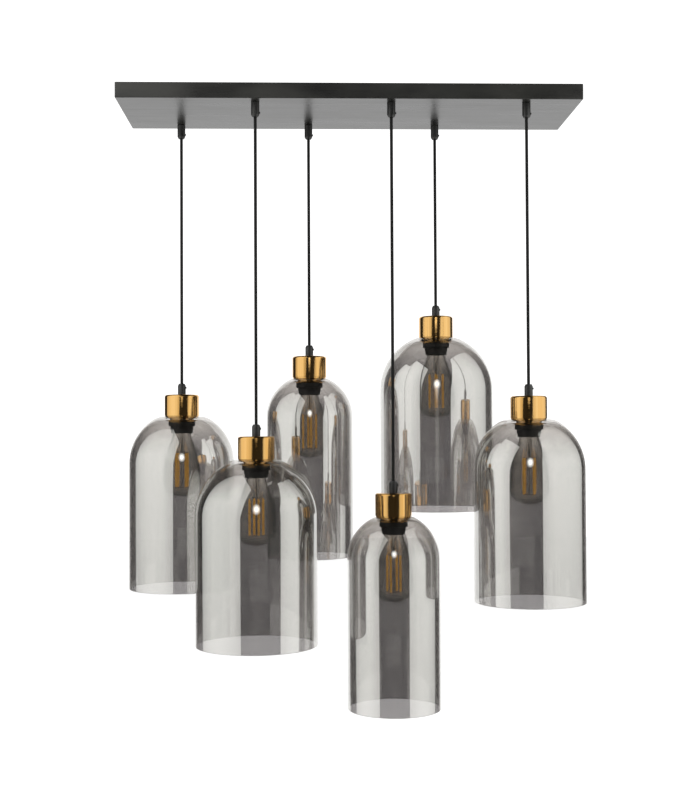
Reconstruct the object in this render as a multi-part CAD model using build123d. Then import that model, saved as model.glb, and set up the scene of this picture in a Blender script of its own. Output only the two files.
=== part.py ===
from build123d import *
import os
from dataclasses import dataclass
from math import atan2, cos, degrees, radians, sin, sqrt, tan

# A ceiling light with six glass pendants that hang on straight cords from one rectangular
# canopy, in two staggered rows of three. Millimetres, +X along the canopy, the front row
# towards -Y, +Z up. The origin is the middle of the canopy in the plane of the ceiling.

# How far a cutting shape runs past what it cuts
overrun = 1.0

# Canopy, a folded sheet tray that opens towards the ceiling
canopy_length = 750.0
canopy_depth = 210.0
canopy_height = 25.0
sheet = 1.2
canopy_corner = 2.0

# Pendant layout: each row's distance from the middle, the pitch in a row and the stagger
row_offset = 78.0
pendant_pitch = 220.0
row_shift = 67.0

# Drop of each pendant, from the underside of the canopy to the top of its cup
drop_1 = 467.5
drop_2 = 539.0
drop_3 = 402.0
drop_4 = 631.0
drop_5 = 333.5
drop_6 = 476.0

# Blown glass shades: outer radius, height and rise of the dome above the straight wall
small_radius = 75.0
small_height = 304.0
small_rise = 65.8
medium_radius = 90.0
medium_height = 291.0
medium_rise = 77.0
large_radius = 98.0
large_height = 293.0
large_rise = 87.5
crown_flat_radius = 31.0
glass_wall = 2.5

# Cord and the hinge points where it leaves its grips
cord_radius = 2.5
cord_clearance = 0.25
swing_room_deg = 28.0
tilt_room_deg = 12.0
mouth_depth = 1.5
end_gap = 0.3

# Cord grips: a moulded barrel with a tapered nose, a threaded shank and a clamp screw
grip_radius = 6.8
nose_radius = 4.9
shank_radius = 5.0
thread_clearance = 0.05
canopy_grip_length = 20.5
cup_grip_length = 15.5
nose_length = 3.5
grip_lead = 0.6
clamp_screw_radius = 1.6
clamp_screw_proud = 1.2
clamp_screw_from_nose = 7.0
seam_turn = 120.0

# Grip nuts inside the canopy
nut_across_flats = 14.0
nut_height = 3.0
shank_past_nut = 4.0
hole_clearance = 0.2

# Ceiling bracket, a steel strap with slots and two turned-down ears
bracket_width = 36.0
bracket_thickness = 1.5
bracket_ear = 16.0
bracket_side_gap = 0.3
slot_spacing = 500.0
slot_length = 16.0
slot_width = 5.2
cable_hole_radius = 11.0
cable_hole_x = 90.0
ear_corner = 6.0

# Screws that hold the canopy to the bracket's ears
canopy_screw_radius = 1.9
canopy_screw_head_radius = 3.8
canopy_screw_head = 2.4
canopy_screw_head_side = 1.3
canopy_screw_crown_radius = 2.7
canopy_screw_length = 7.0
canopy_screw_drop = 9.0
screw_slot_width = 0.9
screw_slot_depth = 1.0

# Terminal block under the bracket, and the cord tails that run to it
block_length = 52.0
block_width = 20.0
block_height = 14.0
block_screw_radius = 2.6
block_screw_proud = 0.8
block_screw_pitch = 16.0
block_corner = 2.0
tail_entry_pitch = 20.0
tail_level = 7.0
tail_lane = 30.0
tail_middle_lane = 52.0
tail_slant = 45.0
tail_middle_slant = 27.0
tail_rise_radius = 7.6
tail_lane_radius = 24.0
tail_entry_radius = 14.0

# Metal cup over the lampholder
cup_radius = 29.5
cup_height = 41.0
cup_wall = 1.0
cup_shoulder = 4.0

# Lampholder
holder_cap_radius = 17.0
holder_cap_height = 22.0
holder_collar_radius = 27.0
holder_collar = 3.0
barrel_radius = 19.6
holder_tip_radius = 18.5
holder_below_crown = 25.5
holder_tip_height = 6.0
holder_mouth_radius = 16.8
holder_mouth_depth = 9.0
holder_taper = 4.0
holder_lead = 1.0
contact_room = 3.0
crown_hole_clearance = 1.0

# Ring that clamps the shade
ring_flange_radius = 29.0
ring_flange = 3.5
ring_skirt_radius = 22.0
ring_below_crown = 19.0
ring_clearance = 0.1
ring_groove_count = 18
ring_groove_radius = 0.9
ring_groove_depth = 0.6
ring_groove_lead = 2.0
ring_lead = 0.8

# Filament lamp
lamp_cap_radius = 13.2
lamp_cap_clearance = 0.4
lamp_cap_length = 26.0
lamp_cap_wall = 0.8
contact_radius = 5.0
contact_height = 2.0
cap_taper = 5.0
lamp_hidden = 30.0
neck_radius = 12.0
neck_overlap = 9.0
bulb_mouth_radius = 15.2
bulb_throat_radius = 18.0
bulb_throat_depth = 11.0
bulb_radius = 32.0
bulb_drop = 109.0
bulb_corner_radius = 24.0
bulb_base_radius = 42.0
bulb_wall = 0.8
pip_radius = 2.6
pip_sunk = 0.3
filament_count = 4
filament_ring_radius = 11.6
filament_radius = 1.1
filament_top = 34.0
filament_length = 58.0
stem_radius = 4.6
stem_flare_radius = 10.6
stem_flare_edge = 1.0
stem_flare_depth = 9.0
stem_end = 26.0
stem_tip = 3.0
rod_radius = 0.7
arm_thickness = 1.2
hub_radius = 2.4

ceiling = 0.0
underside = ceiling - canopy_height


@dataclass
class Pendant:
    """One pendant: its number, its cord's place, the level of its cup's top and its shade."""
    number: int
    x: float
    y: float
    cup_top: float
    radius: float
    height: float
    rise: float
    filament_turn: float

    @property
    def crown(self):
        return self.cup_top - cup_height

    def place(self, level):
        return Pos(self.x, self.y, level)


def pendants():
    """The six pendants, numbered from left to right: odd ones at the back, even at the front."""
    small = (small_radius, small_height, small_rise)
    medium = (medium_radius, medium_height, medium_rise)
    large = (large_radius, large_height, large_rise)
    drops = [drop_1, drop_2, drop_3, drop_4, drop_5, drop_6]
    shades = [medium, large, small, small, large, medium]
    filament_turns = [38.0, 20.0, 12.0, 62.0, 80.0, 30.0]
    found = []
    for i, (drop, shade_size, turn) in enumerate(zip(drops, shades, filament_turns)):
        side = 1 if i % 2 == 0 else -1
        x = (i // 2 - 1) * pendant_pitch - side * row_shift
        found.append(Pendant(i + 1, x, side * row_offset, underside - drop, *shade_size, turn))
    return found


def turned(edges):
    """A solid of revolution about Z from closed edges drawn as (radius, height)."""
    return revolve(Plane.XZ * make_face(edges), Axis.Z)


def turned_points(*points):
    """A solid of revolution about Z from the corners of its section, as (radius, height)."""
    return turned(Polyline(*points, close=True).edges())


def canopy_tray():
    """The folded tray: open top, a hole for each grip, and one screw hole in each end."""
    outer = Pos(0, 0, ceiling - canopy_height / 2) * Box(canopy_length, canopy_depth, canopy_height)
    upright = outer.edges().filter_by(Axis.Z)
    outer = fillet(upright, canopy_corner)
    outer = fillet(outer.faces().sort_by(Axis.Z)[0].edges(), canopy_corner - sheet / 2)
    inner_size = (canopy_length - 2 * sheet, canopy_depth - 2 * sheet, canopy_height)
    inner = Pos(0, 0, ceiling - canopy_height / 2 + sheet) * Box(*inner_size)
    inner = fillet(inner.edges().filter_by(Axis.Z), canopy_corner - sheet)
    tray = outer - inner
    grip_hole = Cylinder(shank_radius + hole_clearance, 2 * sheet + 2 * overrun)
    for p in pendants():
        tray -= p.place(underside) * grip_hole
    screw_length = canopy_length + 2 * overrun
    screw_hole = Rot(0, 90, 0) * Cylinder(canopy_screw_radius + hole_clearance, screw_length)
    return tray - Pos(0, 0, ceiling - canopy_screw_drop) * screw_hole


def ceiling_bracket():
    """A flat strap against the ceiling, with an ear bent down inside each end of the tray."""
    length = canopy_length - 2 * sheet - 2 * bracket_side_gap
    strap = Pos(0, 0, ceiling - bracket_ear / 2) * Box(length, bracket_width, bracket_ear)
    strap = fillet(strap.edges().filter_by(Axis.Y).group_by(Axis.Z)[-1], 2 * bracket_thickness)
    gap_size = (length - 2 * bracket_thickness, bracket_width + 2 * overrun, bracket_ear)
    gap = Pos(0, 0, ceiling - bracket_thickness - bracket_ear / 2) * Box(*gap_size)
    gap = fillet(gap.edges().filter_by(Axis.Y).group_by(Axis.Z)[-1], bracket_thickness)
    bracket = strap - gap
    lower = bracket.edges().filter_by(Axis.X).group_by(Axis.Z)[0]
    bracket = fillet(lower, ear_corner)
    slot = extrude(SlotOverall(slot_length, slot_width), bracket_thickness, both=True)
    for side in (-1, 1):
        bracket -= Pos(side * slot_spacing / 2, 0, ceiling) * slot
    cable_hole = Cylinder(cable_hole_radius, 2 * bracket_thickness + 2 * overrun)
    bracket -= Pos(cable_hole_x, 0, ceiling) * cable_hole
    tapped = Rot(0, 90, 0) * Cylinder(canopy_screw_radius + thread_clearance, canopy_length)
    return bracket - Pos(0, 0, ceiling - canopy_screw_drop) * tapped


def canopy_screws():
    """Two pan-head screws that hold the tray's ends to the bracket's ears."""
    head = turned_points(
        (0, 0),
        (canopy_screw_head_radius, 0),
        (canopy_screw_head_radius, canopy_screw_head_side),
        (canopy_screw_crown_radius, canopy_screw_head),
        (0, canopy_screw_head),
    )
    across = 2 * canopy_screw_head_radius + 2 * overrun
    slot_box = Box(across, screw_slot_width, 2 * screw_slot_depth)
    head -= Pos(0, 0, canopy_screw_head) * slot_box
    downwards = (Align.CENTER, Align.CENTER, Align.MAX)
    shank = Cylinder(canopy_screw_radius, canopy_screw_length, align=downwards)
    screw = head + shank
    level = ceiling - canopy_screw_drop
    right = Pos(canopy_length / 2, 0, level) * Rot(0, 90, 0) * screw
    left = Pos(-canopy_length / 2, 0, level) * Rot(0, -90, 0) * screw
    return Compound([right, left])


def cord_bore(length, room_deg):
    """The hole through a grip, from its nose at height 0 up: a bell mouth, then the bore.

    The cord turns about a point mouth_depth above the nose, so the mouth follows the cone
    that the side of the cord sweeps, grown by the clearance.
    """
    bore = cord_radius + cord_clearance
    room = radians(room_deg)
    # The cord's side leans out from a circle about the hinge point
    touch_radius = bore * cos(room)
    touch_height = mouth_depth + bore * sin(room)
    mouth = touch_radius + touch_height * tan(room)
    cone_top = (mouth - bore) / tan(room)
    return turned_points(
        (0, -overrun),
        (mouth + overrun * tan(room), -overrun),
        (bore, cone_top),
        (bore, length + overrun),
        (0, length + overrun),
    )


def clamp_screw():
    """The clamp screw in the side of a grip, towards +X, and the hole that it sits in."""
    tip = cord_radius + 2 * cord_clearance
    mouth = grip_radius + clamp_screw_proud
    along_x = (Align.CENTER, Align.CENTER, Align.MIN)
    aim = Pos(0, 0, clamp_screw_from_nose) * Rot(0, 90, 0)
    screw = aim * Pos(0, 0, tip) * Cylinder(clamp_screw_radius, mouth - tip, align=along_x)
    hole = aim * Cylinder(clamp_screw_radius + thread_clearance, mouth, align=along_x)
    return screw, hole


def cord_grip(barrel_length, shank_length, room_deg):
    """A cord grip, nose down: nose at height 0, barrel above it, then the shank."""
    top = nose_length + barrel_length
    body = turned_points(
        (0, 0),
        (nose_radius, 0),
        (grip_radius, nose_length),
        (grip_radius, top - grip_lead),
        (grip_radius - grip_lead, top),
        (shank_radius, top),
        (shank_radius, top + shank_length - grip_lead),
        (shank_radius - grip_lead, top + shank_length),
        (0, top + shank_length),
    )
    body -= cord_bore(top + shank_length, room_deg)
    screw, hole = clamp_screw()
    # The turned body's seam is on its +X side, so it is turned away from the screw hole
    body = Rot(0, 0, seam_turn) * body - hole
    return body, screw


def canopy_shank():
    return sheet + nut_height + shank_past_nut


def upper_hinge():
    """Where the cord turns in the nose of its canopy grip."""
    return underside - canopy_grip_length - nose_length + mouth_depth


def lower_hinge(p):
    """Where the cord turns in the nose of its cup grip."""
    return p.cup_top + cup_grip_length + nose_length - mouth_depth


def canopy_grips():
    """The six grips under the canopy, each with its clamp screw."""
    body, screw = cord_grip(canopy_grip_length, canopy_shank(), swing_room_deg)
    solids = []
    for p in pendants():
        nose = p.place(underside - canopy_grip_length - nose_length)
        solids += [nose * body, nose * screw]
    return Compound(solids)


def grip_nuts():
    """A hexagon nut on the shank of each canopy grip, down on the floor of the tray."""
    hexagon = RegularPolygon(nut_across_flats / 2, 6, major_radius=False)
    bore = Circle(shank_radius + thread_clearance)
    nut = extrude(hexagon - bore, nut_height)
    return Compound([p.place(underside + sheet) * nut for p in pendants()])


def tail_route(p):
    """The route of one cord tail: up out of its grip, along the tray and into the block."""
    side = 1 if p.y > 0 else -1
    level = ceiling - tail_level
    middle = p.number in (3, 4)
    far_left = p.number in (1, 2)
    entry = 0.0 if middle else (-tail_entry_pitch if far_left else tail_entry_pitch)
    towards = 1 if entry > p.x else -1
    lane = tail_middle_lane if middle else tail_lane
    slant = tail_middle_slant if middle else tail_slant
    start = (p.x, p.y, upper_hinge() + cord_radius + end_gap)
    points = [
        start,
        (p.x, p.y, level),
        (p.x + towards * slant, side * lane, level),
        (entry, side * lane, level),
        (entry, side * block_width / 2, level),
    ]
    lane_radius = tail_entry_radius if middle else tail_lane_radius
    radii = [tail_rise_radius, lane_radius, tail_entry_radius]
    print("tail", p.number, "radii", radii)
    return FilletPolyline(*points, radius=radii)


def canopy_wiring():
    """The terminal block under the bracket, its screws, and the six cord tails."""
    block_top = ceiling - bracket_thickness
    block = Pos(0, 0, block_top - block_height / 2) * Box(block_length, block_width, block_height)
    block = fillet(block.edges().filter_by(Axis.Z), block_corner)
    solids = []
    seat = block_top - block_height
    for i in (-1, 0, 1):
        foot = Pos(i * block_screw_pitch, 0, seat)
        block -= foot * Cylinder(block_screw_radius + thread_clearance, block_height)
        screw = Cylinder(block_screw_radius, block_height / 2 + block_screw_proud)
        solids.append(foot * Pos(0, 0, (block_height / 2 - block_screw_proud) / 2) * screw)
    solids.insert(0, block)
    for p in pendants():
        path = tail_route(p)
        section = Plane(origin=path @ 0, z_dir=path % 0) * Circle(cord_radius)
        solids.append(sweep(section, path=path))
    return Compound(solids)


def cord(p):
    """The hanging cord, straight under its load, with a ball end at each hinge point."""
    top = upper_hinge()
    foot = lower_hinge(p)
    r = cord_radius
    slant = r * sqrt(0.5)
    edges = [
        Line((0, foot - r), (0, top + r)),
        ThreePointArc((0, top + r), (slant, top + slant), (r, top)),
        Line((r, top), (r, foot)),
        ThreePointArc((r, foot), (slant, foot - slant), (0, foot - r)),
    ]
    print("cord", p.number, "straight, length", round(top - foot, 1))
    return p.place(0) * turned(edges)


def cup(p):
    """The spun metal cup: rounded shoulder, open foot, and a hole for the grip's shank."""
    hole = shank_radius + hole_clearance
    arc = cup_shoulder
    inner = cup_shoulder - cup_wall
    slant = 1 - sqrt(0.5)
    r = cup_radius
    w = cup_wall
    edges = [
        Line((hole, 0), (r - arc, 0)),
        ThreePointArc((r - arc, 0), (r - arc * slant, -arc * slant), (r, -arc)),
        Line((r, -arc), (r, -cup_height)),
        Line((r, -cup_height), (r - w, -cup_height)),
        Line((r - w, -cup_height), (r - w, -arc)),
        ThreePointArc(
            (r - w, -arc),
            (r - w - inner * slant, -w - inner * slant),
            (r - arc, -w),
        ),
        Line((r - arc, -w), (hole, -w)),
        Line((hole, -w), (hole, 0)),
    ]
    return p.place(p.cup_top) * turned(edges)


def cup_grip(p):
    """The grip on top of the cup, nose up, with its shank down in the lampholder's cap."""
    body, screw = cord_grip(cup_grip_length, cup_wall + holder_thread(), tilt_room_deg)
    # Turned over about X, so that the clamp screw stays on the +X side
    stand = p.place(p.cup_top + cup_grip_length + nose_length) * Rot(180, 0, 0)
    return Compound([stand * body, stand * screw])


def holder_thread():
    """Depth of the threaded entry in the lampholder's cap."""
    return holder_cap_height / 2


def lamp_seat():
    """Level of the lamp's end contact, below the top of the cup."""
    return -cup_height - holder_below_crown + lamp_hidden


def lampholder(p):
    """The screw lampholder: threaded entry, cap, collar on the crown, barrel and mouth."""
    top = -cup_wall
    foot = -cup_height - holder_below_crown
    shell = lamp_cap_radius + lamp_cap_clearance
    contact = lamp_seat() + lamp_cap_clearance
    entry = shank_radius + thread_clearance
    outer = turned_points(
        (entry, top),
        (holder_cap_radius, top),
        (holder_cap_radius, top - holder_cap_height),
        (barrel_radius, top - holder_cap_height - holder_taper),
        (barrel_radius, -cup_height + holder_collar),
        (holder_collar_radius, -cup_height + holder_collar),
        (holder_collar_radius, -cup_height),
        (barrel_radius, -cup_height),
        (barrel_radius, foot + holder_tip_height),
        (holder_tip_radius, foot + holder_tip_height),
        (holder_tip_radius, foot + holder_lead),
        (holder_tip_radius - holder_lead, foot),
        (0, foot),
        (0, top - holder_thread()),
        (entry, top - holder_thread()),
    )
    bore = turned_points(
        (0, foot - overrun),
        (holder_mouth_radius, foot - overrun),
        (holder_mouth_radius, foot + holder_mouth_depth),
        (shell, foot + holder_mouth_depth),
        (shell, contact - cap_taper),
        (contact_radius + contact_room, contact),
        (0, contact),
    )
    return p.place(p.cup_top) * (outer - bore)


def shade_ring(p):
    """The ring below the crown: flange under the glass, ribbed skirt and a plain bore."""
    top = -glass_wall
    bore = barrel_radius + ring_clearance
    skirt = turned_points(
        (bore, top),
        (ring_flange_radius, top),
        (ring_flange_radius, top - ring_flange + ring_lead),
        (ring_flange_radius - ring_lead, top - ring_flange),
        (ring_skirt_radius, top - ring_flange),
        (ring_skirt_radius, -ring_below_crown + ring_lead),
        (ring_skirt_radius - ring_lead, -ring_below_crown),
        (bore, -ring_below_crown),
    )
    groove_top = top - ring_flange - ring_groove_lead
    groove_height = groove_top + ring_below_crown + overrun
    groove = Pos(0, 0, groove_top - groove_height / 2) * Cylinder(ring_groove_radius, groove_height)
    groove_circle = ring_skirt_radius + ring_groove_radius - ring_groove_depth
    skirt -= [g * groove for g in PolarLocations(groove_circle, ring_groove_count)]
    return p.place(p.crown) * skirt


def dome(radius, rise, flat):
    """The dome's two tangent arcs, from the straight wall up to the flat crown.

    The lower arc is a circle about the middle of the shade. The upper arc is tangent to it
    and to the crown. Returns the corner radius and the angle at which the arcs meet.
    """
    corner = (radius**2 - flat**2 - rise**2) / (2 * (radius - rise))
    meet = atan2(rise - corner, flat)
    return corner, meet


def shade_edges(radius, rise, flat, equator, foot):
    """Outer or inner wall of a shade, from its foot up to the edge of the flat crown."""
    corner, meet = dome(radius, rise, flat)
    half = meet / 2
    joint = (radius * cos(meet), equator + radius * sin(meet))
    middle = (flat, equator + rise - corner)
    tip = (flat, equator + rise)
    between = (meet + radians(90)) / 2
    shoulder = (middle[0] + corner * cos(between), middle[1] + corner * sin(between))
    return [
        Line((radius, foot), (radius, equator)),
        ThreePointArc((radius, equator), (radius * cos(half), equator + radius * sin(half)), joint),
        ThreePointArc(joint, shoulder, tip),
    ]


def shade(p):
    """A blown glass bell: straight wall, dome, flat crown with a hole, and an open foot."""
    hole = barrel_radius + crown_hole_clearance
    equator = -p.rise
    foot = -p.height
    lip = glass_wall / 2
    inside = p.radius - glass_wall
    outer = shade_edges(p.radius, p.rise, crown_flat_radius, equator, foot + lip)
    inner = shade_edges(inside, p.rise - glass_wall, crown_flat_radius, equator, foot + lip)
    edges = outer + inner + [
        Line((crown_flat_radius, 0), (hole, 0)),
        Line((hole, 0), (hole, -glass_wall)),
        Line((hole, -glass_wall), (crown_flat_radius, -glass_wall)),
        ThreePointArc((inside, foot + lip), (p.radius - lip, foot), (p.radius, foot + lip)),
    ]
    return p.place(p.crown) * turned(edges)


def bulb_profile(grow):
    """The lamp's glass as edges from its mouth to its pip, heights below the lampholder.

    grow is 0 for the outside and minus the wall for the inside. The throat widens to the
    belly on an arc that is upright at the widest point; a corner arc and a flatter base
    arc, tangent to each other, close it.
    """
    belly = bulb_radius + grow
    corner = bulb_corner_radius + grow
    base = bulb_base_radius + grow
    mouth = bulb_mouth_radius + grow
    throat = bulb_throat_radius + grow
    across = bulb_radius - bulb_corner_radius
    base_centre = -bulb_drop + bulb_base_radius
    widest = base_centre - sqrt((bulb_base_radius - bulb_corner_radius) ** 2 - across**2)
    meet = atan2(base_centre - widest, across)
    joint = (across + corner * cos(meet), widest - corner * sin(meet))
    on_corner = (across + corner * cos(meet / 2), widest - corner * sin(meet / 2))
    half = (radians(90) - meet) / 2
    on_base = (base * sin(half), base_centre - base * cos(half))
    height = widest + bulb_throat_depth
    side = ((belly - throat) ** 2 + height**2) / (2 * (belly - throat))
    sweep_angle = atan2(-height, side - (belly - throat)) / 2
    on_side = (belly - side + side * cos(sweep_angle), widest + side * sin(sweep_angle))
    neck = neck_radius + grow
    cap_foot = lamp_hidden - lamp_cap_length
    return {
        "neck": neck,
        "shoulder": cap_foot,
        "bottom": -bulb_drop - grow,
        "edges": [
            Line((neck, cap_foot + neck_overlap), (neck, cap_foot)),
            Line((neck, cap_foot), (mouth, 0)),
            Line((mouth, 0), (throat, -bulb_throat_depth)),
            ThreePointArc((throat, -bulb_throat_depth), on_side, (belly, widest)),
            ThreePointArc((belly, widest), on_corner, joint),
            ThreePointArc(joint, on_base, (0, base_centre - base)),
        ],
    }


def bulb_glass(p):
    """The lamp's glass envelope, thin-walled, with the sealing pip at its foot."""
    level = -holder_below_crown
    outer = bulb_profile(0.0)
    inner = bulb_profile(-bulb_wall)
    top = outer["shoulder"] + neck_overlap
    edges = outer["edges"] + inner["edges"] + [
        Line((outer["neck"], top), (inner["neck"], top)),
        Line((0, inner["bottom"]), (0, outer["bottom"])),
    ]
    envelope = turned(edges)
    pip = Pos(0, 0, outer["bottom"] + pip_sunk) * Sphere(pip_radius)
    downwards = (Align.CENTER, Align.CENTER, Align.MAX)
    below = Cylinder(2 * pip_radius, 2 * pip_radius, align=downwards)
    pip = pip & Pos(0, 0, outer["bottom"] + bulb_wall / 2) * below
    return p.place(p.crown + level) * (envelope + pip)


def bulb_cap(p):
    """The lamp's screw cap: a thin shell, a taper of insulation and the end contact."""
    level = -holder_below_crown
    top = lamp_hidden
    foot = lamp_hidden - lamp_cap_length
    inside = lamp_cap_radius - lamp_cap_wall
    roof = top - contact_height - cap_taper
    cap = turned_points(
        (inside, foot),
        (lamp_cap_radius, foot),
        (lamp_cap_radius, roof),
        (contact_radius, top - contact_height),
        (contact_radius, top),
        (0, top),
        (0, roof - lamp_cap_wall),
        (inside, roof - lamp_cap_wall),
    )
    return p.place(p.crown + level) * cap


def bulb_filament(p):
    """Stem, centre rod, two hubs with arms, and the upright filament strips."""
    level = -holder_below_crown
    neck_top = lamp_hidden - lamp_cap_length + neck_overlap
    bottom = -filament_top - filament_length
    stem = turned_points(
        (0, neck_top),
        (stem_flare_radius, neck_top),
        (stem_flare_radius, neck_top - stem_flare_edge),
        (stem_radius, neck_top - stem_flare_depth),
        (stem_radius, -stem_end),
        (rod_radius, -stem_end - stem_tip),
        (rod_radius, -filament_top + arm_thickness),
        (hub_radius, -filament_top + arm_thickness),
        (hub_radius, -filament_top),
        (rod_radius, -filament_top),
        (rod_radius, bottom),
        (hub_radius, bottom),
        (hub_radius, bottom - arm_thickness),
        (0, bottom - arm_thickness),
    )
    ring = PolarLocations(filament_ring_radius, filament_count)
    strip = extrude(RegularPolygon(filament_radius, 8), -filament_length - 2 * arm_thickness)
    strip = Pos(0, 0, -filament_top + arm_thickness) * strip
    arm_box = Box(filament_ring_radius, arm_thickness, arm_thickness)
    frame = stem
    for place in ring:
        turn = Rot(0, 0, degrees(atan2(place.position.Y, place.position.X)))
        for z in (-filament_top + arm_thickness / 2, bottom - arm_thickness / 2):
            frame += turn * Pos(filament_ring_radius / 2, 0, z) * arm_box
        frame += place * strip
    return p.place(p.crown + level) * Rot(0, 0, p.filament_turn) * frame


def write(name, shape):
    shape.label = name
    export_step(shape, os.path.join("parts", name + ".step"))


def main():
    os.makedirs("parts", exist_ok=True)
    for make in (
        canopy_tray,
        ceiling_bracket,
        canopy_screws,
        canopy_grips,
        grip_nuts,
        canopy_wiring,
    ):
        write(make.__name__, make())
    for p in pendants():
        for make in (
            cord,
            cup,
            cup_grip,
            lampholder,
            shade_ring,
            shade,
            bulb_glass,
            bulb_cap,
            bulb_filament,
        ):
            write(f"{make.__name__}_{p.number}", make(p))


main()
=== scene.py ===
from math import asin, atan2, cos, pi, radians, sin, sqrt

import bmesh
import bpy
from mathutils import Matrix, Vector


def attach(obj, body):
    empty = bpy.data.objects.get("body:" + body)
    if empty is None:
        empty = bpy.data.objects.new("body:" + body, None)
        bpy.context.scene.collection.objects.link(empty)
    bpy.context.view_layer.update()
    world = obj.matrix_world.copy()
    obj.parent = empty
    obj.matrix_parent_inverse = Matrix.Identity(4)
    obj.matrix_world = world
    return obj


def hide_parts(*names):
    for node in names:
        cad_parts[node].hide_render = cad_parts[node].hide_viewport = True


# The looks of a ceiling light with six smoked glass pendants on a rectangular canopy.
# Lengths are in millimetres, apart from the studio's and the finishes', and MM makes them
# metres. Pendants are numbered from left to right: odd at the back, even in front.

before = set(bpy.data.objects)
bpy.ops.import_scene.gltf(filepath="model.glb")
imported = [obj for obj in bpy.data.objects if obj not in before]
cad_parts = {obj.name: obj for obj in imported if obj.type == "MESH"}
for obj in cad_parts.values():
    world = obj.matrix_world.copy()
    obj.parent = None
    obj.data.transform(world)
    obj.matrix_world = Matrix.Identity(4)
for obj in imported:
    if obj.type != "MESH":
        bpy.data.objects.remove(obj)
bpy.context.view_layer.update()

MM = 0.001
full_turn = 2 * pi

# Canopy and grips
canopy_height = 25.0
canopy_grip_length = 20.5
cup_grip_length = 15.5
nose_length = 3.5
mouth_depth = 1.5
cord_diameter = 5.0

# Pendant layout
row_offset = 78.0
pendant_pitch = 220.0
row_shift = 67.0
drops = (467.5, 539.0, 402.0, 631.0, 333.5, 476.0)

# Shades as (outer radius, height, rise of the dome above the straight wall)
small_shade = (75.0, 304.0, 65.8)
medium_shade = (90.0, 291.0, 77.0)
large_shade = (98.0, 293.0, 87.5)
shade_sizes = (medium_shade, large_shade, small_shade, small_shade, large_shade, medium_shade)
glass_wall = 2.5
crown_flat_radius = 31.0
crown_hole_radius = 20.6
# The glass stands up round the cup's foot in a soft rim
crown_rim_radius = 28.6
crown_rim_round = 0.5
crown_lift = 3.6
small_crown_lift = 2.2

# Cup, with a step and a cone at its foot
cup_radius = 29.5
cup_height = 41.0
cup_wall = 1.0
cup_shoulder = 4.0
cup_hole_radius = 5.2
cup_straight = 36.7
cup_step = 0.6
cup_step_inside = 0.4
cup_foot_top_radius = 28.3
cup_foot_radius = 27.5
cup_foot_bore = 27.15

# Neck, flange and skirt under the crown, with heights below it
holder_bore = 19.75
neck_top = 0.05
neck_clear = 0.2
neck_length = 5.5
neck_foot_radius = 22.3
neck_flare = 1.6
flange_radius = 27.8
flange_thickness = 0.9
flange_round = 0.3
flange_slope = 0.5
skirt_radius = 22.8
skirt_end = 13.4
skirt_top_round = 0.4
skirt_foot_round = 0.6

# Lamp, with heights below the lampholder's foot
holder_below_crown = 25.5
bulb_mouth_radius = 15.2
bulb_throat_radius = 18.0
bulb_throat_depth = 11.0
bulb_radius = 32.0
bulb_drop = 109.0
bulb_corner_radius = 24.0
bulb_base_radius = 42.0
bulb_wall = 0.8
neck_radius = 12.0
neck_overlap = 9.0
# Sealing pip, as (share of its radius, height below the glass)
pip_radius = 2.6
pip_shape = ((0.9, 0.3), (0.62, 1.5), (0.2, 2.2), (0.0, 2.3))

# Screw cap. A thread is drawn as (share of its depth, share of its pitch)
lamp_hidden = 30.0
lamp_cap_length = 26.0
lamp_cap_radius = 13.2
lamp_cap_wall = 0.8
cap_rim = 1.0
cap_taper = 5.0
cap_threads = 4
thread_depth = 0.9
thread_shape = ((0.7, 0.2), (1.0, 0.45), (0.3, 0.75), (0.0, 1.0))
contact_radius = 5.0
contact_height = 2.0
contact_bevel = 0.8
contact_bevel_height = 0.6
cap_foot = lamp_hidden - lamp_cap_length
neck_end = cap_foot + neck_overlap

# Stem and wires
stem_radius = 4.6
stem_end = 26.0
stem_tip_height = 4.0
stem_tip_bevel = 1.4
stem_tip_round = 1.0
stem_flare_radius = 10.6
stem_flare_edge = 1.2
stem_flare_step = 2.0
stem_flare_step_depth = 5.0
stem_flare_depth = 10.0
rod_radius = 0.7
rod_sunk = 6.0
arm_radius = 0.45
lead_radius = 0.4
lead_spacing = 3.2
lead_taper = 0.3
lead_sunk = 12.0
lead_past_stem = 2.0
upper_bead_radius = 2.2
lower_bead_radius = 2.0
bead_height = 1.4
bead_round = 0.4
# Arms as (height at the rod, height at the strip) past the end of the strips
upper_arm = (2.4, 0.8)
lower_arm = (1.2, 0.4)
upper_bead_above = 2.6
lower_bead_below = 0.2

# Filament strips, thick enough to show as they do through the glass
filament_turns = (38.0, 20.0, 12.0, 62.0, 80.0, 30.0)
filament_count = 4
filament_ring_radius = 11.6
filament_radius = 1.8
filament_tip_radius = 0.6
filament_taper = 0.8
# Ends of a strip as (height at the tip's edge, height at its middle) past its length
filament_head = (0.4, 0.6)
filament_heel = (0.2, 0.4)
filament_top = -34.0
filament_length = 58.0
filament_foot = filament_top - filament_length

# Camera, fitted to the photograph
camera_place = (-70.9, -2119.9, -554.8)
camera_yaw, camera_pitch, camera_roll = 0.03367, 0.02368, -0.00479
camera_sensor = 36.0
camera_lens = 57.14
camera_nearest = 0.05


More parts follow.
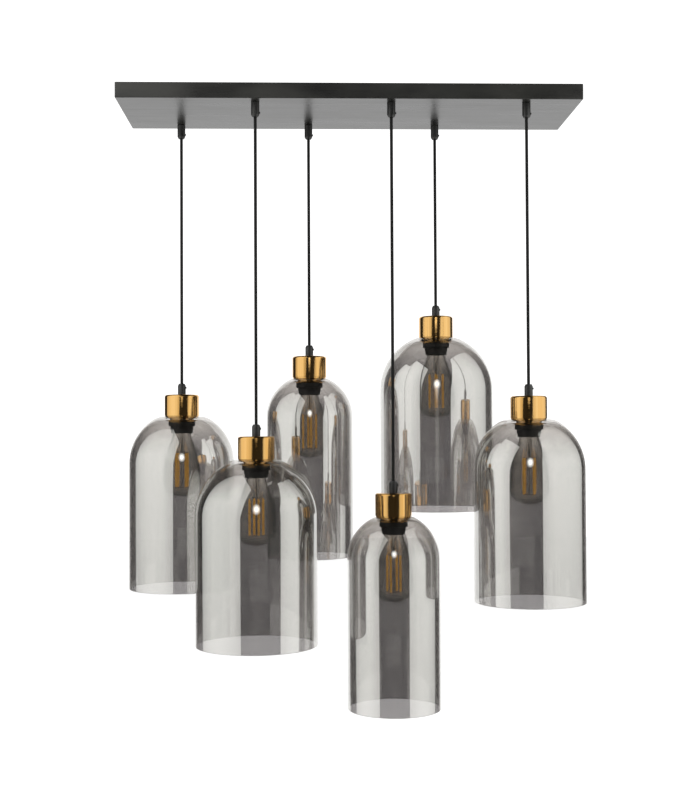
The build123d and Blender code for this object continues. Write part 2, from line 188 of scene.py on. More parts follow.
class Pendant:
    """One pendant's place and the sizes of its shade."""

    def __init__(self, index):
        side = 1 if index % 2 == 0 else -1
        self.number = index + 1
        self.cord_body = f"cord_{self.number}"
        self.head_body = f"head_{self.number}"
        self.lamp_body = f"lamp_{self.number}"
        self.x = (index // 2 - 1) * pendant_pitch - side * row_shift
        self.y = side * row_offset
        self.cup_top = -canopy_height - drops[index]
        self.crown = self.cup_top - cup_height
        self.lamp_level = self.crown - holder_below_crown
        self.radius, self.height, self.rise = shade_sizes[index]
        self.crown_lift = small_crown_lift if shade_sizes[index] == small_shade else crown_lift
        self.turn = radians(filament_turns[index])

    def point(self, level):
        """A point on the pendant's axis, in metres."""
        return Vector((self.x * MM, self.y * MM, level * MM))

    def strip_places(self):
        """Where the filament strips stand round the axis of the lamp."""
        angles = [self.turn + i * full_turn / filament_count for i in range(filament_count)]
        return [(filament_ring_radius * cos(a), filament_ring_radius * sin(a)) for a in angles]


pendants = [Pendant(i) for i in range(len(drops))]


# Shader maths


class Wire:
    """A node's output in a finish. Arithmetic on it adds Math nodes."""

    def __init__(self, finish, socket):
        self.finish = finish
        self.socket = socket

    def maths(self, operation, *values):
        settings = {"operation": operation}
        return self.finish.node("ShaderNodeMath", settings, dict(enumerate(values)))

    def other_output(self, name):
        """Another output of the node that this one comes from."""
        return Wire(self.finish, self.socket.node.outputs[name])

    def __add__(self, other):
        return self.maths("ADD", self, other)

    def __radd__(self, other):
        return self.maths("ADD", other, self)

    def __sub__(self, other):
        return self.maths("SUBTRACT", self, other)

    def __rsub__(self, other):
        return self.maths("SUBTRACT", other, self)

    def __mul__(self, other):
        return self.maths("MULTIPLY", self, other)

    def __rmul__(self, other):
        return self.maths("MULTIPLY", other, self)

    def __pow__(self, other):
        return self.maths("POWER", self, other)

    def sine(self):
        return self.maths("SINE", self)


class Finish:
    """A material, or the world, under construction."""

    def __init__(self, name, tree=None):
        self.material = None
        if tree is None:
            self.material = bpy.data.materials.new(name)
            self.material.use_nodes = True
            tree = self.material.node_tree
        self.tree = tree
        self.tree.nodes.clear()

    def node(self, kind, settings=None, values=None, outlet=0):
        """Adds a node. Its settings come first, then the values or links of its sockets."""
        made = self.tree.nodes.new(kind)
        for name, value in (settings or {}).items():
            setattr(made, name, value)
        for name, value in (values or {}).items():
            if isinstance(value, Wire):
                self.tree.links.new(value.socket, made.inputs[name])
            else:
                made.inputs[name].default_value = value
        return Wire(self, made.outputs[outlet]) if len(made.outputs) else made

    def place(self, scale=(1, 1, 1)):
        """Object coordinates in metres, stretched by a scale for each axis."""
        coordinates = self.node("ShaderNodeTexCoord", outlet="Object")
        return self.node("ShaderNodeMapping", None, {"Vector": coordinates, "Scale": scale})

    def noise(self, fineness, detail, scale=(1, 1, 1)):
        values = {"Vector": self.place(scale), "Scale": fineness, "Detail": detail}
        return self.node("ShaderNodeTexNoise", None, values)

    def spread(self, wire, low, high, start=0.3, end=0.7, kind="LINEAR"):
        """Maps start..end of a value to low..high, without going past them."""
        settings = {"clamp": True, "interpolation_type": kind}
        values = {0: wire, 1: start, 2: end, 3: low, 4: high}
        return self.node("ShaderNodeMapRange", settings, values)

    def blend(self, factor, first, second):
        """A colour between two, by a factor."""
        settings = {"data_type": "RGBA"}
        values = {0: factor, 6: (*first, 1.0), 7: (*second, 1.0)}
        return self.node("ShaderNodeMix", settings, values, 2)

    def bump(self, height, distance, strength=1.0):
        values = {"Height": height, "Distance": distance, "Strength": strength}
        return self.node("ShaderNodeBump", None, values)

    def surface(self, **values):
        sockets = {name.replace("_", " "): value for name, value in values.items()}
        return self.node("ShaderNodeBsdfPrincipled", None, sockets)

    def tinted(self, tint):
        """Clear matter that tints what is seen through it."""
        return self.node("ShaderNodeBsdfTransparent", None, {"Color": (*tint, 1)})

    def mixed(self, factor, first, second):
        return self.node("ShaderNodeMixShader", None, {0: factor, 1: first, 2: second})

    def done(self, shader, kind="ShaderNodeOutputMaterial"):
        self.node(kind, None, {"Surface": shader})
        return self.material


def colour(red, green, blue):
    """A colour as it shows in a picture, 0 to 255, in the linear values that nodes take."""
    def linear(v):
        v = v / 255
        return v / 12.92 if v <= 0.04045 else ((v + 0.055) / 1.055) ** 2.4
    return (linear(red), linear(green), linear(blue))


# Glass

edge_mirror = 0.97
smoked_mirror = 0.37
smoked_tint = (0.75, 0.733, 0.733)
smoked_edge_tint = (0.58, 0.56, 0.55)
# Depths below the crown in metres: where the coat comes in, and where the glass then dims to the
# foot
bare_crown = (0.012, 0.060)
bare_tint = (0.83, 0.815, 0.80)
bare_share = 0.85
foot_fade = (0.07, 0.29)
foot_reflection = 0.82
foot_tint = (0.71, 0.695, 0.695)
lamp_mirror = 0.06
lamp_tint = (0.95, 0.94, 0.92)
# The lamp glass's edges get painted shade: a dark tint for the dark surroundings its curved glass
# shows
lamp_edge_shade = (0.20, 0.19, 0.18)


def grazing(f):
    """0 where a surface is seen head-on, up to 1 where it is seen along itself."""
    return f.node("ShaderNodeLayerWeight", None, {"Blend": 0.5}, "Facing")


def mirror_share(mirror, graze):
    """The share of light that glass reflects: mirror head-on, nearly all at its edges."""
    return mirror + (edge_mirror - mirror) * graze ** 5


def coated(f, share, clear):
    """Glass that reflects a share of the light and lets the rest through."""
    shine = f.surface(Base_Color=(0.94, 0.947, 0.92, 1), Metallic=1.0, Roughness=0.02)
    return f.done(f.mixed(share, clear, shine))


def smoked_glass():
    """Half-mirrored smoked glass. Its coat thins out at the crown; lower down it dims towards the
    foot.
    """
    f = Finish("smoked_glass")
    graze = grazing(f)
    depth = f.node("ShaderNodeAttribute", {"attribute_name": "below_crown"}, None, "Fac")
    bare = f.spread(depth, 1.0, 0.0, *bare_crown)
    streaks = f.noise(1.0, 2.0, (900, 900, 3))
    share = mirror_share(smoked_mirror, graze)
    share = share * f.spread(depth, 1.0, foot_reflection, *foot_fade) * f.spread(streaks, 0.95, 1.05)
    share = share * (1 - bare_share * bare * (1 - graze ** 3))
    lower = f.spread(depth, 0.0, 1.0, *foot_fade)
    clear = f.mixed(lower, f.tinted(smoked_tint), f.tinted(foot_tint))
    clear = f.mixed(bare, clear, f.tinted(bare_tint))
    clear = f.mixed(graze ** 3, clear, f.tinted(smoked_edge_tint))
    return coated(f, share, clear)


def lamp_glass():
    """Clear glass with painted shade that darkens it towards its edges."""
    f = Finish("lamp_glass")
    graze = grazing(f)
    clear = f.mixed(graze ** 3, f.tinted(lamp_tint), f.tinted(lamp_edge_shade))
    return coated(f, mirror_share(lamp_mirror, graze), clear)


# Metal, plastic, paint and cloth


def polished_metal(name, base, worn, roughness, brushing, relief, clouding=(22, 22, 22)):
    """Metal with two tones in clouds, and fine lines or grain from its last polish."""
    f = Finish(name)
    cloud = f.noise(1.0, 3.0, clouding)
    brushed = f.noise(1.0, 2.0, brushing)
    return f.done(f.surface(
        Base_Color=f.blend(f.spread(cloud, 0.0, 1.0), base, worn),
        Metallic=1.0,
        Roughness=f.spread(brushed, roughness * 0.8, roughness * 1.25),
        Normal=f.bump(brushed, relief),
    ))


def moulded_plastic(name, base, worn, roughness, grain=900.0):
    """Plastic with a fine moulded grain and slightly uneven sheen."""
    f = Finish(name)
    cloud = f.noise(40.0, 4.0)
    fine = f.noise(grain, 2.0)
    return f.done(f.surface(
        Base_Color=f.blend(f.spread(cloud, 0.0, 1.0), base, worn),
        Roughness=f.spread(cloud, roughness - 0.06, roughness + 0.08),
        Normal=f.bump(fine, 0.00003, 0.5),
    ))


def canopy_paint():
    """Black satin coat over brushed sheet: faint lines along the canopy."""
    f = Finish("canopy_black")
    lines = f.noise(1.0, 3.0, (5, 420, 420))
    cloud = f.noise(9.0, 3.0, (1, 2.5, 2.5))
    fine = f.noise(1500.0, 2.0)
    height = lines * 0.7 + fine * 0.3
    return f.done(f.surface(
        Base_Color=f.blend(f.spread(cloud, 0.0, 1.0), colour(20, 20, 19), colour(44, 44, 41)),
        Roughness=f.spread(lines, 0.27, 0.32) + f.spread(cloud, -0.02, 0.03),
        Normal=f.bump(height, 0.000004, 0.5),
        Specular_IOR_Level=0.55,
    ))


def braid():
    """Woven black sleeve: two sets of threads that cross."""
    threads_around = 6
    threads_along = 2600.0
    f = Finish("cord_black")
    around = f.node("ShaderNodeTexCoord", outlet="UV")
    around = f.node("ShaderNodeSeparateXYZ", None, {0: around}, "Y")
    along = f.node("ShaderNodeTexCoord", outlet="Object")
    along = f.node("ShaderNodeSeparateXYZ", None, {0: along}, "Z")
    left = (along * threads_along + around * (threads_around * full_turn)).sine()
    right = (along * threads_along - around * (threads_around * full_turn)).sine()
    weave = left.maths("MAXIMUM", left, right)
    tone = f.spread(weave, 0.0, 1.0, -0.2, 1.0)
    fluff = f.noise(1400.0, 3.0)
    return f.done(f.surface(
        Base_Color=f.blend(tone, colour(16, 16, 16), colour(23, 23, 22)),
        Roughness=f.spread(fluff, 0.65, 0.85),
        Specular_IOR_Level=0.2,
        Normal=f.bump(weave + fluff * 0.4, 0.00002, 0.7),
    ))


def amber_strip():
    """Grainy phosphor coat with a little painted glow, though the lamp is off, so it shows in the
    glass.
    """
    f = Finish("filament_amber")
    grain = f.noise(1.0, 2.0, (900, 900, 260))
    tone = f.blend(f.spread(grain, 0.0, 1.0), (0.76, 0.39, 0.04), (0.90, 0.50, 0.07))
    return f.done(f.surface(
        Base_Color=tone, Roughness=0.45, Coat_Weight=0.3, Emission_Color=tone, Emission_Strength=0.7,
    ))


def zinc():
    """Zinc plate with its spangle."""
    f = Finish("zinc_steel")
    spangle = {"Vector": f.place(), "Scale": 260.0}
    spangle = f.node("ShaderNodeTexVoronoi", None, spangle, "Distance")
    tone = f.spread(spangle, 0.0, 1.0, 0.1, 0.6)
    fine = f.noise(500.0, 3.0)
    return f.done(f.surface(
        Base_Color=f.blend(tone, (0.50, 0.51, 0.53), (0.64, 0.65, 0.66)),
        Metallic=1.0,
        Roughness=f.spread(spangle, 0.28, 0.45, 0.1, 0.6),
        Normal=f.bump(fine, 0.00002, 0.4),
    ))


half_mirror = smoked_glass()
lamp_clear = lamp_glass()
copper = polished_metal(
    "cup_copper", base=(0.72, 0.45, 0.175), worn=(0.62, 0.345, 0.10), roughness=0.05,
    brushing=(0, 0, 1400), relief=0.0001, clouding=(150, 150, 1),
)
nickel = polished_metal(
    "lamp_nickel", base=(0.72, 0.70, 0.66), worn=(0.60, 0.58, 0.54), roughness=0.2,
    brushing=(900, 900, 300), relief=0.000005,
)
brass = polished_metal(
    "nut_brass", base=(0.78, 0.58, 0.28), worn=(0.66, 0.48, 0.22), roughness=0.25,
    brushing=(300, 300, 900), relief=0.000005,
)
wire_steel = polished_metal(
    "support_wire", base=(0.30, 0.29, 0.28), worn=(0.22, 0.21, 0.20), roughness=0.35,
    brushing=(900, 900, 300), relief=0.0,
)
grip_plastic = moulded_plastic("grip_black", colour(27, 27, 27), colour(38, 38, 37), 0.33)
holder_plastic = moulded_plastic("holder_black", colour(16, 16, 16), colour(26, 25, 24), 0.5)
wiring_plastic = moulded_plastic("wiring_black", colour(44, 44, 44), colour(58, 57, 56), 0.5)
screw_oxide = moulded_plastic("screw_black", colour(34, 34, 34), colour(46, 46, 45), 0.35, 500.0)
canopy_black = canopy_paint()
sleeve = braid()
amber = amber_strip()
zinc_plate = zinc()


# Making pieces


class Section:
    """The outline of a turned piece, drawn from a first point in runs and arcs, in mm."""

    def __init__(self, radius, height):
        self.bm = bmesh.new()
        self.first = self.tip = self.bm.verts.new((radius, 0, height))

    def to(self, radius, height):
        made = bmesh.ops.extrude_vert_indiv(self.bm, verts=[self.tip])
        self.tip = made["verts"][0]
        self.tip.co = (radius, 0, height)
        return self

    def arc(self, radius, height, angle, steps):
        """Turns the last point about a centre by an angle in radians, clockwise if over 0."""
        made = bmesh.ops.spin(
            self.bm, geom=[self.tip], cent=(radius, 0, height), axis=(0, 1, 0),
            angle=angle, steps=steps, use_merge=False,
        )
        self.tip = next(g for g in made["geom_last"] if isinstance(g, bmesh.types.BMVert))
        return self

    def close(self):
        """Joins the last point to the first one, where they are apart."""
        if (self.tip.co - self.first.co).length > 1e-4:
            self.bm.edges.new((self.tip, self.first))
        return self

    def spun(self, steps=96):
        """The solid of revolution about the upright axis."""
        geom = self.bm.verts[:] + self.bm.edges[:]
        bmesh.ops.spin(
            self.bm, geom=geom, cent=(0, 0, 0), axis=(0, 0, 1), angle=full_turn,
            steps=steps, use_merge=True,
        )
        bmesh.ops.remove_doubles(self.bm, verts=self.bm.verts[:], dist=0.001)
        bmesh.ops.recalc_face_normals(self.bm, faces=self.bm.faces[:])
        return self.bm


def piece(name, bm, origin, body, material, replaced=None, sharp_deg=32.0):
    """A finished piece from a mesh in mm: put in place, smoothed, on its body."""
    bmesh.ops.scale(bm, vec=(MM, MM, MM), verts=bm.verts[:])
    bmesh.ops.translate(bm, vec=origin, verts=bm.verts[:])
    limit = radians(sharp_deg)
    for face in bm.faces:
        face.smooth = True
    for edge in bm.edges:
        edge.smooth = edge.calc_face_angle(pi) < limit
    mesh = bpy.data.meshes.new(name)
    bm.to_mesh(mesh)
    bm.free()
    made = bpy.data.objects.new(name, mesh)
    bpy.context.scene.collection.objects.link(made)
    mesh.materials.append(material)
    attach(made, body)
    if replaced:
        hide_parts(replaced)
    return made


def joined(parts):
    """Several meshes in mm as one."""
    whole = bmesh.new()
    for part in parts:
        held = bpy.data.meshes.new("held")
        part.to_mesh(held)
        part.free()
        whole.from_mesh(held)
        bpy.data.meshes.remove(held)
    return whole


# Camera


def make_camera():
    """The photograph's viewpoint: just under the middle of the light, level, and square on."""
    yaw, pitch, roll = camera_yaw, camera_pitch, camera_roll
    forward = Vector((sin(yaw) * cos(pitch), cos(yaw) * cos(pitch), sin(pitch)))
    level_right = Vector((cos(yaw), -sin(yaw), 0.0))
    level_up = level_right.cross(forward)
    right = cos(roll) * level_right + sin(roll) * level_up
    up = -sin(roll) * level_right + cos(roll) * level_up
    data = bpy.data.cameras.new("camera")
    data.sensor_width = camera_sensor
    data.lens = camera_lens
    data.clip_start = camera_nearest
    camera = bpy.data.objects.new("camera", data)
    bpy.context.scene.collection.objects.link(camera)
    turn = Matrix((right, up, -forward)).transposed()
    camera.matrix_world = Matrix.Translation(Vector(camera_place) * MM) @ turn.to_4x4()
    bpy.context.scene.camera = camera


# Cords


def hanging_cord(p):
    """The straight cord between its two hinge points, one in the nose of each grip."""
    top = -canopy_height - canopy_grip_length - nose_length + mouth_depth
    foot = p.cup_top + cup_grip_length + nose_length - mouth_depth
    steady = 6 * cord_diameter
    levels = (top, top - steady, foot + steady, foot)
    data = bpy.data.curves.new(f"hanging_cord_{p.number}", "CURVE")
    data.dimensions = "3D"
    data.bevel_depth = cord_diameter / 2 * MM
    data.bevel_resolution = 7
    data.resolution_u = 12
    data.use_fill_caps = True
    spline = data.splines.new("NURBS")
    spline.points.add(len(levels) - 1)
    for point, level in zip(spline.points, levels):
        point.co = (*p.point(level), 1.0)
    spline.order_u = 3
    spline.use_endpoint_u = True
    data.materials.append(sleeve)
    made = bpy.data.objects.new(data.name, data)
    bpy.context.scene.collection.objects.link(made)
    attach(made, p.cord_body)
    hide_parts(f"cord_{p.number}")
    p.point(top)
    (top - foot) * MM


# Shades and cups


def dome(radius, rise):
    """The corner radius of a dome's shoulder, and the angle where its two arcs meet."""
    flat = crown_flat_radius
    corner = (radius**2 - flat**2 - rise**2) / (2 * (radius - rise))
    return corner, atan2(rise - corner, flat)


def shade(p):
    """A blown bell, closed shell: outer wall up, crown, inner wall down, rounded lip."""
    lip = glass_wall / 2
    inside = p.radius - glass_wall
    equator = -p.rise
    lip_level = -p.height + lip
    lift = p.crown_lift
    rim = crown_rim_radius
    corner, meet = dome(p.radius, p.rise + lift)
    inner_corner, inner_meet = dome(inside, p.rise - glass_wall)
    s = Section(p.radius, lip_level)
    s.to(p.radius, equator)
    s.arc(0, equator, -meet, 18)
    s.arc(crown_flat_radius, lift - corner, meet - pi / 2, 14)
    s.to(rim + crown_rim_round, lift).to(rim, lift - crown_rim_round).to(rim, 0)
    s.to(crown_hole_radius, 0).to(crown_hole_radius, -glass_wall)
    s.to(crown_flat_radius, -glass_wall)
    s.arc(crown_flat_radius, -glass_wall - inner_corner, pi / 2 - inner_meet, 14)
    s.arc(0, equator, inner_meet, 18)
    s.to(inside, lip_level)
    s.arc(p.radius - lip, lip_level, -pi, 8)
    made = piece(
        f"glass_bell_{p.number}", s.spun(144), p.point(p.crown), p.head_body,
        half_mirror, f"shade_{p.number}", sharp_deg=40.0,
    )
    # The glass's finish reads how far each point lies below the crown
    depth = made.data.attributes.new("below_crown", "FLOAT", "POINT")
    for vertex, value in zip(made.data.vertices, depth.data):
        value.value = p.crown * MM - vertex.co.z


def cup(p):
    """The spun cup: rounded shoulder, rolled lower edge, and a stepped cone for a foot."""
    w = cup_wall
    roll = w / 2
    inner = cup_shoulder - w
    shoulder_radius = cup_radius - cup_shoulder
    s = Section(cup_hole_radius, 0)
    s.to(shoulder_radius, 0)
    s.arc(shoulder_radius, -cup_shoulder, pi / 2, 10)
    s.to(cup_radius, -cup_straight + roll)
    s.arc(cup_radius - roll, -cup_straight + roll, pi / 2, 5)
    s.to(cup_foot_top_radius, -cup_straight).to(cup_foot_top_radius, -cup_straight - cup_step)
    s.to(cup_foot_radius, -cup_height).to(cup_foot_bore, -cup_height)
    s.to(cup_foot_bore, -cup_straight - cup_step_inside).to(cup_radius - w, -cup_straight + w)
    s.to(shoulder_radius + inner, -cup_shoulder)
    s.arc(shoulder_radius, -cup_shoulder, -pi / 2, 8)
    s.to(cup_hole_radius, -w)
    s.close()
    piece(
        f"copper_cup_{p.number}", s.spun(128), p.point(p.cup_top), p.head_body,
        copper, f"cup_{p.number}",
    )


def neck(p):
    """The copper neck under the crown, with the flange that holds the glass."""
    hole = crown_hole_radius - neck_clear
    under = -glass_wall
    flange_edge = flange_radius - flange_round
    flange_foot = under - flange_thickness
    s = Section(holder_bore, -neck_top).to(hole, -neck_top).to(hole, under)
    s.to(flange_edge, under).to(flange_radius, under - flange_round).to(flange_edge, flange_foot)
    s.to(neck_foot_radius + neck_flare, flange_foot - flange_slope)
    s.to(neck_foot_radius, -neck_length).to(holder_bore, -neck_length).close()
    piece(
        f"copper_neck_{p.number}", s.spun(), p.point(p.crown), p.head_body,
        copper,
    )


def skirt(p):
    """The black skirt screwed up under the neck."""
    s = Section(holder_bore, -neck_length)
    s.to(skirt_radius - skirt_top_round, -neck_length)
    s.to(skirt_radius, -neck_length - skirt_top_round)
    s.to(skirt_radius, -skirt_end + skirt_foot_round)
    s.to(skirt_radius - skirt_foot_round, -skirt_end).to(holder_bore, -skirt_end).close()
    piece(
        f"holder_skirt_{p.number}", s.spun(), p.point(p.crown), p.head_body,
        holder_plastic, f"shade_ring_{p.number}",
    )


# Lamps


def draw_bulb_side(s, shrink, downwards):
    """Draws one side of the lamp's glass on a section, from its neck down or base up."""
    inlet = neck_radius - shrink
    mouth = bulb_mouth_radius - shrink
    throat = bulb_throat_radius - shrink
    belly = bulb_radius - shrink
    across = bulb_radius - bulb_corner_radius
    base_centre = bulb_base_radius - bulb_drop
    drop = sqrt((bulb_base_radius - bulb_corner_radius) ** 2 - across**2)
    widest = base_centre - drop
    meet = atan2(drop, across)
    height = -widest - bulb_throat_depth
    side = ((belly - throat) ** 2 + height**2) / (2 * (belly - throat))
    lean = asin(height / side)
    if downwards:
        s.to(inlet, cap_foot).to(mouth, 0).to(throat, -bulb_throat_depth)
        s.arc(belly - side, widest, lean, 16)
        s.arc(across, widest, meet, 12)
        s.arc(0, base_centre, pi / 2 - meet, 8)
    else:
        s.arc(0, base_centre, meet - pi / 2, 8)
        s.arc(across, widest, -meet, 12)
        s.arc(belly - side, widest, -lean, 16)
        s.to(mouth, 0).to(inlet, cap_foot).to(inlet, neck_end)


def lamp_envelope(p):
    """The lamp's glass: neck, throat, belly, corner and base, with its sealing pip."""
    glass = Section(neck_radius, neck_end)
    draw_bulb_side(glass, 0, downwards=True)
    glass.to(0, -bulb_drop + bulb_wall)
    draw_bulb_side(glass, bulb_wall, downwards=False)
    glass.close()
    root = -bulb_drop + bulb_wall / 2
    pip = Section(0, root).to(pip_radius, root)
    for share, below in pip_shape:
        pip.to(share * pip_radius, -bulb_drop - below)
    piece(
        f"lamp_envelope_{p.number}", joined([glass.spun(80), pip.spun(24)]),
        p.point(p.lamp_level), p.lamp_body, lamp_clear, f"bulb_glass_{p.number}",
    )


def screw_cap(p):
    """The lamp's cap: rolled threads, a taper of insulation and the end contact."""
    roof = lamp_hidden - contact_height - cap_taper
    pitch = (roof - cap_foot - 2 * cap_rim) / cap_threads
    inside = lamp_cap_radius - lamp_cap_wall
    s = Section(inside, cap_foot).to(lamp_cap_radius, cap_foot)
    s.to(lamp_cap_radius, cap_foot + cap_rim)
    for i in range(cap_threads):
        for deep, along in thread_shape:
            level = cap_foot + cap_rim + (i + along) * pitch
            s.to(lamp_cap_radius - deep * thread_depth, level)
    s.to(lamp_cap_radius, roof).to(contact_radius, lamp_hidden - contact_height)
    s.to(contact_radius, lamp_hidden - contact_bevel_height)
    s.to(contact_radius - contact_bevel, lamp_hidden).to(0, lamp_hidden)
    s.to(0, roof - lamp_cap_wall).to(inside - cap_rim, roof - lamp_cap_wall)
    s.to(inside - cap_rim, cap_foot + cap_rim).close()
    piece(
        f"screw_cap_{p.number}", s.spun(48), p.point(p.lamp_level), p.lamp_body,
        nickel, f"bulb_cap_{p.number}",
    )


def glass_stem(p):
    """The stem inside the lamp, flared where it is sealed to the neck."""
    tip = stem_radius - stem_tip_bevel
    s = Section(0, neck_end).to(stem_flare_radius, neck_end)
    s.to(stem_flare_radius, neck_end - stem_flare_edge)
    s.to(stem_radius + stem_flare_step, neck_end - stem_flare_step_depth)
    s.to(stem_radius, neck_end - stem_flare_depth)
    s.to(stem_radius, -stem_end + stem_tip_height).to(tip, -stem_end + stem_tip_round)
    s.to(0, -stem_end)
    piece(
        f"glass_stem_{p.number}", s.spun(40), p.point(p.lamp_level), p.lamp_body,
        lamp_clear,
    )


def rod(start, end, radius):
    """A straight wire between two points, in mm."""
    a, b = Vector(start), Vector(end)
    way = b - a
    bm = bmesh.new()
    aim = Matrix.Translation((a + b) / 2) @ way.to_track_quat("Z", "Y").to_matrix().to_4x4()
    bmesh.ops.create_cone(
        bm, cap_ends=True, segments=10, radius1=radius, radius2=radius,
        depth=way.length, matrix=aim,
    )
    return bm


def bead(top, radius):
    """A small bead on the centre rod, where the arms meet it."""
    foot = top - bead_height
    s = Section(0, top).to(radius - bead_round, top).to(radius, top - bead_round)
    s.to(radius, foot + bead_round).to(radius - bead_round, foot).to(0, foot)
    return s.spun(16)


def support_wires(p):
    """The centre rod, the arms that carry the strips, two lead wires and two beads."""
    rods = [rod((0, 0, -stem_end + rod_sunk), (0, 0, filament_foot), rod_radius)]
    root, tip = (filament_top + height for height in upper_arm)
    low_root, low_tip = (filament_foot - height for height in lower_arm)
    for x, y in p.strip_places():
        rods.append(rod((0, 0, root), (x, y, tip), arm_radius))
        rods.append(rod((0, 0, low_root), (x, y, low_tip), arm_radius))
    for side in (-1, 1):
        a = p.turn + side * pi / 2
        x, y = lead_spacing * cos(a), lead_spacing * sin(a)
        start = (x, y, neck_end - lead_sunk)
        end = (x * lead_taper, y * lead_taper, -stem_end - lead_past_stem)
        rods.append(rod(start, end, lead_radius))
    rods.append(bead(filament_top + upper_bead_above, upper_bead_radius))
    rods.append(bead(filament_foot - lower_bead_below, lower_bead_radius))
    piece(
        f"support_wires_{p.number}", joined(rods), p.point(p.lamp_level), p.lamp_body,
        wire_steel,
    )


def amber_strips(p):
    """The upright filament strips, with tapered ends."""
    strips = []
    head_edge, head = (filament_top + height for height in filament_head)
    heel_edge, heel = (filament_foot - height for height in filament_heel)
    for x, y in p.strip_places():
        s = Section(0, head).to(filament_tip_radius, head_edge)
        s.to(filament_radius, filament_top - filament_taper)
        s.to(filament_radius, filament_foot + filament_taper)
        s.to(filament_tip_radius, heel_edge).to(0, heel)
        strip = s.spun(12)
        bmesh.ops.translate(strip, vec=(x, y, 0), verts=strip.verts[:])
        strips.append(strip)
    piece(
        f"amber_strips_{p.number}", joined(strips), p.point(p.lamp_level), p.lamp_body,
        amber, f"bulb_filament_{p.number}",
    )


# Studio, in metres

white_seen = 1.25
world_in_mirrors = 0.04
world_light = 0.62

# Soft boxes: an upright panel from box_foot to a rise at each side, with slanting panels
# above it that reach over the light. Each corner shows as a corner of a zone on the glass
box_foot = -2.0
left_inner = (-0.4755, -0.741)
left_outer = (-1.2, 0.4)
left_rise = -0.69
left_near = (-0.33, -0.97, 0.47)
left_peak = (-0.54, -0.11, 0.466)
left_far = (-1.163, 0.308, 0.131)
right_inner = (0.45, -0.676)
right_outer = (1.2, 0.42)
right_rise = -0.487
right_near = (0.47, -0.293, 0.267)
right_far = (1.1, 0.49, 0.71)
box_colour = (1.33, 1.335, 1.30)
# Stretches over which the boxes fade: towards the camera, away from it, and downwards
box_front = (-0.80, -0.34)
box_back = (-0.25, 0.42)
box_low = (-1.1, -0.5)

backdrop_left = -0.9
backdrop_right = 1.05
backdrop_distance = 1.2
backdrop_top = 0.65

key_place = (-0.05, -2.57, 0.06)
key_glow = 0.37
key_stretch = 0.7
key_before_card = 0.02
key_aim = (0.0, 0.0, -0.6)
key_size = (0.26, 0.26)
key_power = 1.6

side_place = (2.1, -0.9, 0.6)
side_aim = (0.0, 0.0, -0.5)
side_size = (1.6, 2.2)
side_power = 34

floor_level = -1.5
floor_half_width = 9.0


def link_mesh(name, bm):
    """An object of the studio from a mesh in metres."""
    mesh = bpy.data.meshes.new(name)
    bm.to_mesh(mesh)
    bm.free()
    made = bpy.data.objects.new(name, mesh)
    bpy.context.scene.collection.objects.link(made)
    return made


def stage_card(name, corners, colour_of):
    """A flat card of the studio that only mirror reflections see, with its own colour."""
    bm = bmesh.new()
    bm.faces.new([bm.verts.new(Vector(c)) for c in corners])
    card = link_mesh(name, bm)
    f = Finish(name)
    emission = {"Color": colour_of(f), "Strength": 1.0}
    card.data.materials.append(f.done(f.node("ShaderNodeEmission", None, emission)))
    card.visible_camera = False
    card.visible_diffuse = False
    card.visible_transmission = False
    card.visible_volume_scatter = False
    card.visible_shadow = False


def soft_box_colour(f):
    """Diffuser light: strongest up its middle, a little weaker at its edges and low down."""
    place = f.node("ShaderNodeTexCoord", outlet="Object")
    upwards = f.node("ShaderNodeSeparateXYZ", None, {0: place}, "Z")
    across = upwards.other_output("Y")
    front = f.spread(across, 0.70, 1.0, *box_front, "SMOOTHSTEP")
    back = f.spread(across, 1.0, 0.76, *box_back, "SMOOTHSTEP")
    low = f.spread(upwards, 0.95, 1.02, *box_low)
    return f.blend(front * back * low, (0.0, 0.0, 0.0), box_colour)


def backdrop_colour(f):
    """The bright paper behind the light, the same all over."""
    return (white_seen, white_seen, white_seen, 1)


def key_colour(f):
    """The small key light, brightest in its middle and taller than wide."""
    x, y, z = key_place
    values = {0: f.place((1, 1, key_stretch)), 1: (x, y, z * key_stretch)}
    away = f.node("ShaderNodeVectorMath", {"operation": "DISTANCE"}, values, "Value")
    glow = f.spread(away, 1.0, 0.0, 0.0, key_glow) ** 1.3
    return f.blend(glow, (0.03, 0.03, 0.03), (4.2, 4.2, 4.1))


def upright(inner, outer, low, high):
    """The corners of an upright card over a line on the floor plan."""
    return ((*inner, low), (*outer, low), (*outer, high), (*inner, high))


def make_cards():
    """Soft boxes at both sides, paper behind, and a small key near the camera."""
    left_corner, left_edge = (*left_inner, left_rise), (*left_outer, left_rise)
    right_corner, right_edge = (*right_inner, right_rise), (*right_outer, right_rise)
    panels = (
        upright(left_inner, left_outer, box_foot, left_rise),
        (left_corner, left_near, left_peak),
        (left_corner, left_peak, left_far),
        (left_corner, left_far, left_edge),
        upright(right_inner, right_outer, box_foot, right_rise),
        (right_corner, right_near, right_far),
        (right_corner, right_far, right_edge),
    )
    for i, corners in enumerate(panels):
        stage_card(f"soft_box_{i}", corners, soft_box_colour)
    paper_left = (backdrop_left, backdrop_distance)
    paper_right = (backdrop_right, backdrop_distance)
    paper = upright(paper_left, paper_right, box_foot, backdrop_top)
    stage_card("backdrop", paper, backdrop_colour)
    x, y, z = key_place
    reach = 2 * key_glow
    stage_card("key_card", upright((x - reach, y), (x + reach, y), z - reach, z + reach), key_colour)


def area_light(name, place, aim, size, power):
    """A soft lamp that lights surfaces and isn't seen in mirrors."""
    data = bpy.data.lights.new(name, "AREA")
    data.shape = "RECTANGLE"
    data.size, data.size_y = size
    data.energy = power
    made = bpy.data.objects.new(name, data)
    made.location = place
    made.rotation_mode = "QUATERNION"
    made.rotation_quaternion = (Vector(aim) - Vector(place)).to_track_quat("-Z", "Y")
    made.visible_glossy = False
    bpy.context.scene.collection.objects.link(made)


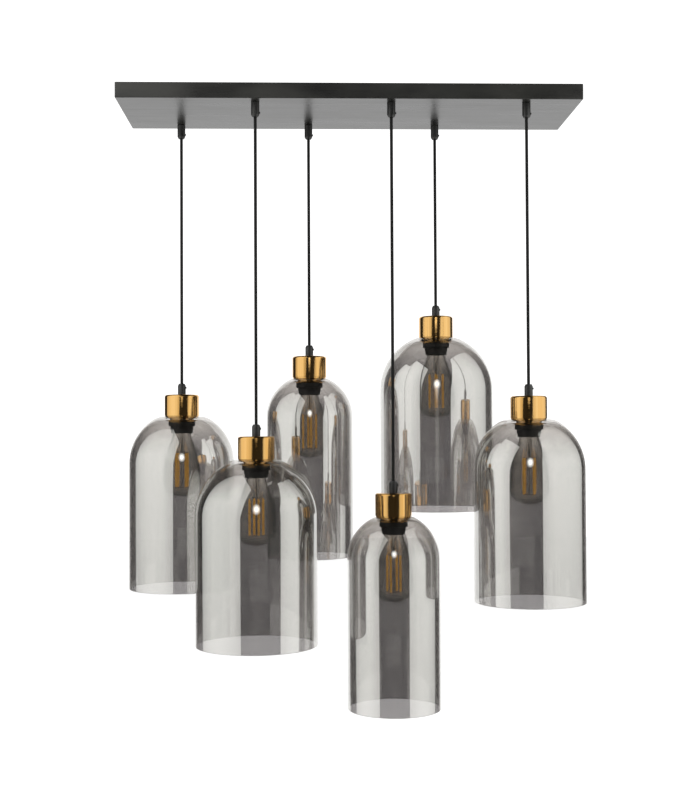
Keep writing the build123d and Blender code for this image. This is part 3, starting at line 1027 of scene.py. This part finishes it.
def make_lights():
    x, y, z = key_place
    area_light("key", (x, y + key_before_card, z), key_aim, key_size, key_power)
    x, y, z = side_place
    area_light("left_box", (-x, y, z), side_aim, side_size, side_power)
    area_light("right_box", (x, y, z), side_aim, side_size, side_power)


def make_world():
    """White where it is seen, straight or through glass, dim in mirrors, softer as light."""
    world = bpy.data.worlds.new("studio")
    world.use_nodes = True
    bpy.context.scene.world = world
    f = Finish("studio", world.node_tree)
    camera_ray = f.node("ShaderNodeLightPath", outlet="Is Camera Ray")
    glossy = camera_ray.other_output("Is Glossy Ray")
    through = camera_ray.other_output("Is Transmission Ray")
    seen = camera_ray.maths("MAXIMUM", camera_ray, through)
    other = 1 - seen.maths("MAXIMUM", seen, glossy)
    strength = white_seen * seen + world_in_mirrors * glossy + world_light * other
    back = f.node("ShaderNodeBackground", None, {"Color": (1, 1, 1, 1), "Strength": strength})
    f.done(back, "ShaderNodeOutputWorld")


def make_floor():
    """The pale floor, well below the lowest shade."""
    bm = bmesh.new()
    bmesh.ops.create_grid(bm, x_segments=2, y_segments=2, size=floor_half_width)
    bmesh.ops.translate(bm, vec=(0, 0, floor_level), verts=bm.verts[:])
    floor = link_mesh("floor", bm)
    f = Finish("floor")
    floor.data.materials.append(f.done(f.surface(
        Base_Color=(0.86, 0.86, 0.855, 1), Roughness=0.9, Specular_IOR_Level=0.1,
        Emission_Color=(1, 1, 1, 1), Emission_Strength=0.5,
    )))
    floor.visible_glossy = False


def make_studio():
    make_world()
    make_cards()
    make_lights()
    make_floor()
    scene = bpy.context.scene
    scene.view_settings.view_transform = "Standard"
    # A line of sight can cross eight walls of glass and more
    scene.cycles.transparent_max_bounces = 48
    scene.cycles.glossy_bounces = 8
    scene.cycles.max_bounces = 16


def dress_cad_nodes():
    """Finishes for the CAD nodes whose own shapes stay."""
    kept = {
        "canopy_tray": canopy_black,
        "ceiling_bracket": zinc_plate,
        "canopy_screws": screw_oxide,
        "canopy_grips": grip_plastic,
        "grip_nuts": brass,
        "canopy_wiring": wiring_plastic,
    }
    for p in pendants:
        kept[f"cup_grip_{p.number}"] = grip_plastic
        kept[f"lampholder_{p.number}"] = holder_plastic
    for name, material in kept.items():
        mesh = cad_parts[name].data
        mesh.materials.clear()
        mesh.materials.append(material)


make_camera()
for p in pendants:
    hanging_cord(p)
for p in pendants:
    shade(p)
    cup(p)
    neck(p)
    skirt(p)
    lamp_envelope(p)
    screw_cap(p)
    glass_stem(p)
    support_wires(p)
    amber_strips(p)
dress_cad_nodes()
make_studio()
